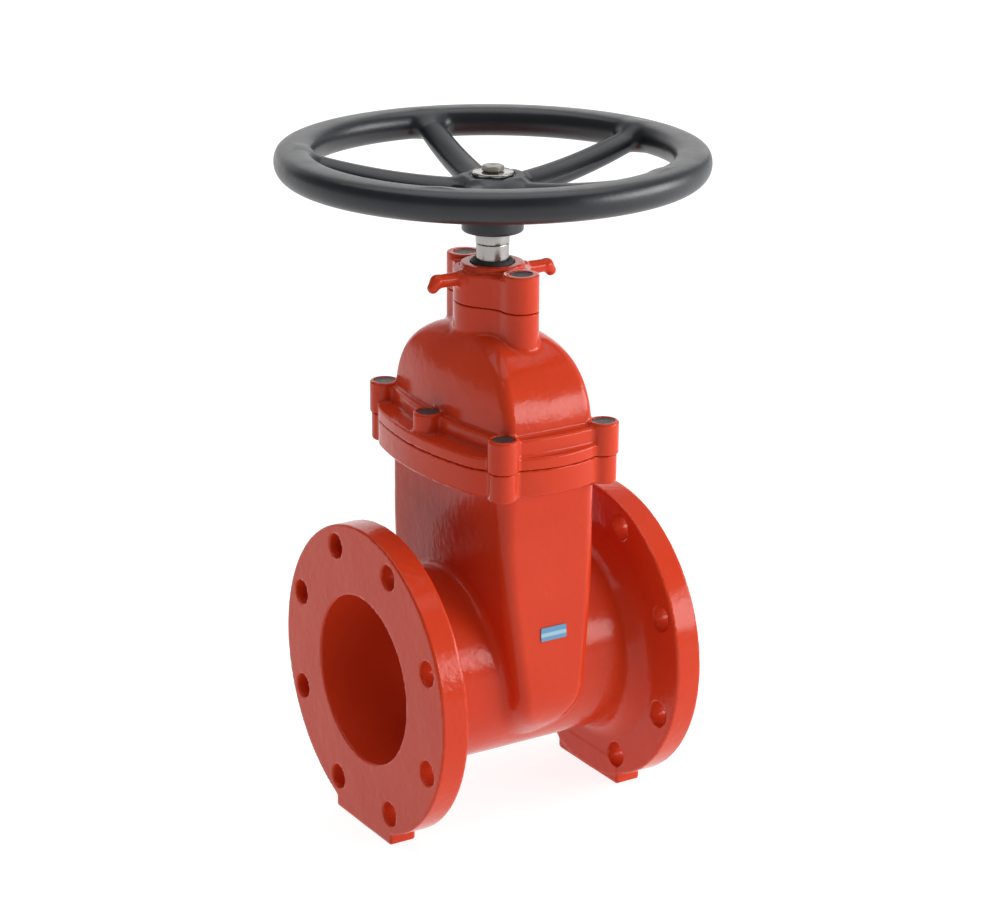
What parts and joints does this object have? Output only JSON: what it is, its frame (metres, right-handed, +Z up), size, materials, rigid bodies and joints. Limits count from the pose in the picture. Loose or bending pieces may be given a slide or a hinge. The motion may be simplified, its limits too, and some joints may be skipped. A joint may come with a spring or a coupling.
{
  "type": "gate valve",
  "caption": "Flanged non-rising-stem gate valve with a handwheel; turning the wheel lowers a rubber-faced wedge across the pipe bore.",
  "frame": {"origin": "on the stem axis, at the height of the undersides of the two feet", "axes": "+X along the pipe bore; +Z up along the stem axis; +Y across the pipe"},
  "size_m": [0.375, 0.375, 0.6076],
  "materials": {
    "red_epoxy": "glossy orange-red epoxy coat on cast iron",
    "black_enamel": "satin charcoal paint on cast iron",
    "stainless": "turned and polished stainless steel",
    "zinc_steel": "zinc-plated steel",
    "ductile_iron": "rough as cast",
    "brass": "machined",
    "black_rubber": "matt moulded rubber",
    "sealing_wax": "poured dark wax",
    "nylon": "moulded nylon",
    "label": "plain blue film"
  },
  "bodies": {
    "valve_shell": {"body": "red_epoxy", "bonnet": "red_epoxy", "bonnet_gasket": "black_rubber", "bonnet_bolt_1": "zinc_steel", "bonnet_bolt_2": "zinc_steel", "bonnet_bolt_3": "zinc_steel", "bonnet_bolt_4": "zinc_steel", "bonnet_bolt_5": "zinc_steel", "bonnet_bolt_6": "zinc_steel", "bonnet_bolt_wax_1": "sealing_wax", "bonnet_bolt_wax_2": "sealing_wax", "bonnet_bolt_wax_3": "sealing_wax", "bonnet_bolt_wax_4": "sealing_wax", "bonnet_bolt_wax_5": "sealing_wax", "bonnet_bolt_wax_6": "sealing_wax", "seal_housing": "red_epoxy", "housing_bolt_1": "zinc_steel", "housing_bolt_2": "zinc_steel", "housing_bolt_wax_1": "sealing_wax", "housing_bolt_wax_2": "sealing_wax", "housing_o_ring": "black_rubber", "stem_bushing": "brass", "stem_o_ring_1": "black_rubber", "stem_o_ring_2": "black_rubber", "wiper_ring": "black_rubber", "thrust_washer_lower": "brass", "thrust_washer_upper": "brass", "label_plate": "label"},
    "stem_and_wheel": {"stem": "stainless", "handwheel": "black_enamel", "handwheel_spacer": "stainless", "handwheel_washer": "stainless", "handwheel_bolt": "zinc_steel"},
    "wedge": {"wedge_core": "ductile_iron", "wedge_rubber": "black_rubber", "wedge_nut": "brass", "wedge_shoe_left": "nylon", "wedge_shoe_right": "nylon"}
  },
  "joints": [
    {"name": "stem_turn", "type": "hinge", "parent": "valve_shell", "child": "stem_and_wheel", "pos_m": [0, 0, 0.463], "axis": [0, 0, 1], "range_deg": [-7290, 0]},
    {"name": "wedge_slide", "type": "slide", "parent": "valve_shell", "child": "wedge", "axis": [0, 0, 1], "range_m": [-0.1621, 0]}
  ],
  "couplings": [
    {"joint": "wedge_slide", "follows": "stem_turn", "m_per_rad": 0.0012732}
  ]
}
